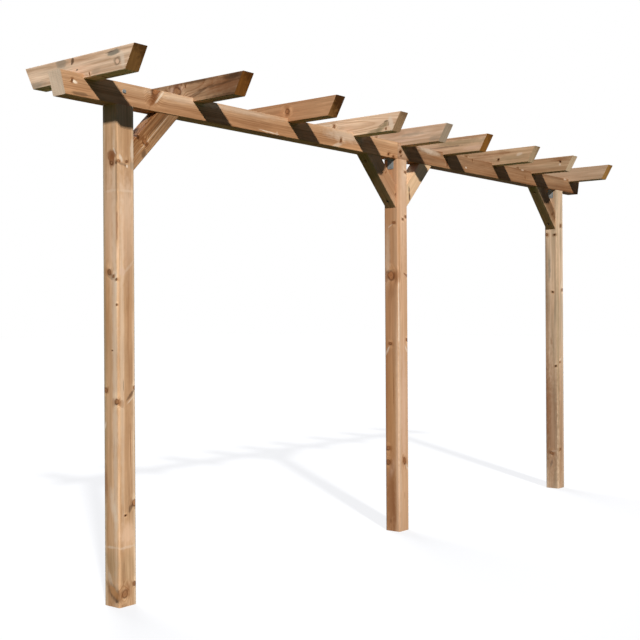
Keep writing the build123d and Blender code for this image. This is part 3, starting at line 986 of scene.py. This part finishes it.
class PERGOLA_OT_dress_beams(bpy.types.Operator):
    """Finish the two beam lengths"""

    bl_idname = "pergola.dress_beams"
    bl_label = "Dress Beams"

    def execute(self, context):
        for node, timber in BEAMS.items():
            dress(node, treated_softwood(node, timber, LENGTHWAYS))
        return {"FINISHED"}


class PERGOLA_OT_dress_rafters(bpy.types.Operator):
    """Finish the rafters, each from its own log"""

    bl_idname = "pergola.dress_rafters"
    bl_label = "Dress Rafters"

    def execute(self, context):
        for node, timber in RAFTERS.items():
            dress(node, treated_softwood(node, timber, CROSSWAYS))
        return {"FINISHED"}


class PERGOLA_OT_dress_braces(bpy.types.Operator):
    """Finish the leaning braces"""

    bl_idname = "pergola.dress_braces"
    bl_label = "Dress Braces"

    def execute(self, context):
        for node, timber in BRACES.items():
            dress(node, treated_softwood(node, timber, BRACE_TURNS[node]))
        return {"FINISHED"}


class PERGOLA_OT_dress_brackets(bpy.types.Operator):
    """Finish the steel angles and drive their screws"""

    bl_idname = "pergola.dress_brackets"
    bl_label = "Dress Brackets"

    def execute(self, context):
        # Two screws in each leg, at these shares of its length
        shares = (0.40, 0.78)
        thick = 2.5 * MM
        places = []
        for node in [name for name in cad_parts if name.startswith("bracket_")]:
            dress(node, galvanised_zinc())
            low, high = (Vector(corner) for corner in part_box(node))
            away = 1 if node == "bracket_middle_right" else -1
            corner = low.x if away > 0 else high.x
            for share in shares:
                reach = share * (high.x - low.x)
                places.append((Vector((corner + away * thick, 0, high.z - reach)), (away, 0, 0)))
                places.append((Vector((corner + away * reach, 0, high.z - thick)), (0, 0, -1)))
        size = context.scene.pergola_fixings.pan_diameter
        fixing("bracket_screws", cross_head, places, size, galvanised_zinc())
        return {"FINISHED"}


class PERGOLA_OT_drive_coach_screws(bpy.types.Operator):
    """Drive the coach screw in the beam and those in the brace pockets"""

    bl_idname = "pergola.drive_coach_screws"
    bl_label = "Drive Coach Screws"

    def execute(self, context):
        flats = context.scene.pergola_fixings.coach_flats
        low, high = (Vector(corner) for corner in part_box("beam_left"))
        over_post = (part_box("post_left")[0][0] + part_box("post_left")[1][0]) / 2
        above_middle = 11 * MM
        face = Vector((over_post, low.y, (low.z + high.z) / 2 + above_middle))
        fixing("beam_coach_screw", hex_head, [(face, (0, -1, 0))], flats, galvanised_zinc())

        # The pockets lie this far in from a brace's ends, and the heads stand this far from post and beam
        inset = 36 * MM
        floor = 18 * MM
        places = []
        for node, turn in BRACE_TURNS.items():
            low, high = (Vector(corner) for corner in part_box(node))
            away = 1 if turn is LEANING_RIGHT else -1
            corner, tip = (low.x, high.x) if away > 0 else (high.x, low.x)
            places.append((Vector((corner + away * floor, 0, low.z + inset)), (away, 0, 0)))
            places.append((Vector((tip - away * inset, 0, high.z - floor)), (0, 0, -1)))
        smaller = 0.75 * flats
        fixing("brace_screws", hex_head, places, smaller, galvanised_zinc())
        return {"FINISHED"}


class PERGOLA_OT_drive_rafter_screws(bpy.types.Operator):
    """Drive a skewed screw into one side of every rafter, over the beam"""

    bl_idname = "pergola.drive_rafter_screws"
    bl_label = "Drive Rafter Screws"

    def execute(self, context):
        below_middle = 8 * MM
        places = []
        for node in RAFTERS:
            low, high = (Vector(corner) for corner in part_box(node))
            level = (low.z + high.z) / 2 - below_middle
            if node == "rafter_1":
                places.append((Vector((low.x, 0, level)), (-1, 0, 0)))
            else:
                places.append((Vector((high.x, 0, level)), (1, 0, 0)))
        size = 0.8 * context.scene.pergola_fixings.pan_diameter
        fixing("rafter_screws", cross_head, places, size, browned_steel())
        return {"FINISHED"}


class PERGOLA_OT_set_stage(bpy.types.Operator):
    """Set the pale floor, the lights and the camera"""

    bl_idname = "pergola.set_stage"
    bl_label = "Set Stage"

    def execute(self, context):
        settings = context.scene.pergola_stage
        lay_floor(settings)
        light_room(context.scene, settings)
        place_camera(context.scene, settings)
        context.scene.view_settings.view_transform = "Standard"
        return {"FINISHED"}


class PERGOLA_PT_panel(bpy.types.Panel):
    """Lists the dressing steps"""

    bl_idname = "PERGOLA_PT_panel"
    bl_label = "Pergola"
    bl_space_type = "VIEW_3D"
    bl_region_type = "UI"
    bl_category = "Pergola"

    def draw(self, context):
        scene = context.scene
        for settings in (scene.pergola_timber, scene.pergola_fixings, scene.pergola_stage):
            for name in settings.bl_rna.properties.keys():
                if name not in ("name", "rna_type"):
                    self.layout.prop(settings, name)
        for step in STEPS:
            self.layout.operator(step.bl_idname)


STEPS = (
    PERGOLA_OT_dress_posts,
    PERGOLA_OT_dress_beams,
    PERGOLA_OT_dress_rafters,
    PERGOLA_OT_dress_braces,
    PERGOLA_OT_dress_brackets,
    PERGOLA_OT_drive_coach_screws,
    PERGOLA_OT_drive_rafter_screws,
    PERGOLA_OT_set_stage,
)
CLASSES = (PergolaTimber, PergolaFixings, PergolaStage, *STEPS, PERGOLA_PT_panel)


def register():
    for cls in CLASSES:
        bpy.utils.register_class(cls)
    bpy.types.Scene.pergola_timber = bpy.props.PointerProperty(type=PergolaTimber)
    bpy.types.Scene.pergola_fixings = bpy.props.PointerProperty(type=PergolaFixings)
    bpy.types.Scene.pergola_stage = bpy.props.PointerProperty(type=PergolaStage)


def unregister():
    del bpy.types.Scene.pergola_stage
    del bpy.types.Scene.pergola_fixings
    del bpy.types.Scene.pergola_timber
    for cls in reversed(CLASSES):
        bpy.utils.unregister_class(cls)


def main():
    register()
    bpy.ops.pergola.dress_posts()
    bpy.ops.pergola.dress_beams()
    bpy.ops.pergola.dress_rafters()
    bpy.ops.pergola.dress_braces()
    bpy.ops.pergola.dress_brackets()
    bpy.ops.pergola.drive_coach_screws()
    bpy.ops.pergola.drive_rafter_screws()
    bpy.ops.pergola.set_stage()


if __name__ == "__main__":
    main()
